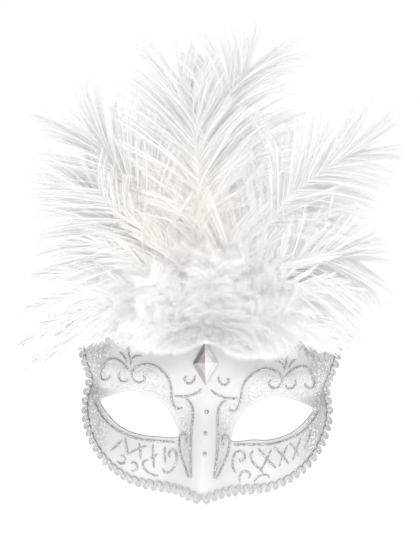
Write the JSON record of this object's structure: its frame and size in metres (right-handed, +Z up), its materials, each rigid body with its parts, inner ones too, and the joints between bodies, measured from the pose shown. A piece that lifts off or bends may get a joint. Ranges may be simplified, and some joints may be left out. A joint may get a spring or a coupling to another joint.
{
  "type": "feathered half mask",
  "caption": "Moulded white half mask with open eyes, silver braid edge, raised glitter scrolls, a brow gem and a tall fan of white feathers on springy quills.",
  "frame": {"origin": "middle of the wearer's face opening: on the plane of symmetry, at eye-centre height, at the depth of the mask's side edges", "axes": "+Z up, -Y out of the front of the mask, +X to the right seen from the front"},
  "size_m": [0.2332, 0.0959, 0.2977],
  "materials": {
    "moulded_shell": "satin white paint over the moulding",
    "silver_braid": "metallic scroll braid",
    "silver_glitter": "silver glitter glue",
    "glitter_film": "pale iridescent glitter",
    "gem_acrylic": "cut clear acrylic",
    "gem_foil": "silver foil",
    "clear_glue": "hot-melt glue",
    "felt_patch": "white felt",
    "binding_thread": "wound white thread",
    "quill": "keratin shaft",
    "feather_cream": "undyed off-white barbs",
    "feather_white": "bleached white barbs"
  },
  "bodies": {
    "mask": {"brow_scroll_left": "silver_glitter", "brow_scroll_right": "silver_glitter", "cheek_lattice_left": "silver_glitter", "cheek_lattice_right": "silver_glitter", "cheek_scroll_left": "silver_glitter", "cheek_scroll_right": "silver_glitter", "crown_scroll_left": "silver_glitter", "crown_scroll_right": "silver_glitter", "eye_line_left": "silver_glitter", "eye_line_right": "silver_glitter", "feather_glue": "clear_glue", "feather_patch": "felt_patch", "finger_outline_left": "silver_glitter", "finger_outline_right": "silver_glitter", "flower_spray_left": "silver_glitter", "flower_spray_right": "silver_glitter", "gem": "gem_acrylic", "gem_foil_back": "gem_foil", "gem_glue": "clear_glue", "glitter_field_left": "glitter_film", "glitter_field_right": "glitter_film", "hackle_left_1": "feather_white", "hackle_left_2": "feather_white", "hackle_left_3": "feather_white", "hackle_left_4": "feather_white", "hackle_left_5": "feather_white", "hackle_left_6": "feather_white", "hackle_right_1": "feather_white", "hackle_right_2": "feather_white", "hackle_right_3": "feather_white", "hackle_right_4": "feather_white", "hackle_right_5": "feather_white", "hackle_right_6": "feather_white", "lower_braid_cord": "silver_braid", "lower_braid_tape": "silver_braid", "marabou_1": "feather_white", "marabou_2": "feather_white", "marabou_3": "feather_white", "marabou_4": "feather_white", "marabou_5": "feather_white", "mask_shell": "moulded_shell", "nose_dots": "silver_glitter", "plume_quill_ends": "quill", "quill_binding": "binding_thread", "temple_scroll_left": "silver_glitter", "temple_scroll_right": "silver_glitter", "upper_braid_cord": "silver_braid", "upper_braid_tape": "silver_braid"},
    "plume_back_body": {"plume_back": "feather_cream"},
    "plume_left_high_body": {"plume_left_high": "feather_cream"},
    "plume_left_low_body": {"plume_left_low": "feather_white"},
    "plume_right_high_body": {"plume_right_high": "feather_white"},
    "plume_right_low_body": {"plume_right_low": "feather_white"},
    "plume_top_body": {"plume_top": "feather_cream"}
  },
  "joints": [
    {"name": "plume_back_sway", "type": "hinge", "parent": "mask", "child": "plume_back_body", "pos_m": [-0.002, -0.05758, 0.056], "axis": [0, 1, 0], "range_deg": [-6, 6], "stiffness_Nm_per_rad": 0.3},
    {"name": "plume_left_high_sway", "type": "hinge", "parent": "mask", "child": "plume_left_high_body", "pos_m": [-0.006, -0.05548, 0.056], "axis": [0, 1, 0], "range_deg": [-6, 6], "stiffness_Nm_per_rad": 0.3},
    {"name": "plume_left_low_sway", "type": "hinge", "parent": "mask", "child": "plume_left_low_body", "pos_m": [-0.01, -0.05338, 0.056], "axis": [0, 1, 0], "range_deg": [-6, 6], "stiffness_Nm_per_rad": 0.3},
    {"name": "plume_right_high_sway", "type": "hinge", "parent": "mask", "child": "plume_right_high_body", "pos_m": [0.006, -0.05548, 0.056], "axis": [0, 1, 0], "range_deg": [-6, 6], "stiffness_Nm_per_rad": 0.3},
    {"name": "plume_right_low_sway", "type": "hinge", "parent": "mask", "child": "plume_right_low_body", "pos_m": [0.01, -0.05758, 0.056], "axis": [0, 1, 0], "range_deg": [-6, 6], "stiffness_Nm_per_rad": 0.3},
    {"name": "plume_top_sway", "type": "hinge", "parent": "mask", "child": "plume_top_body", "pos_m": [0.002, -0.05338, 0.056], "axis": [0, 1, 0], "range_deg": [-6, 6], "stiffness_Nm_per_rad": 0.3}
  ]
}
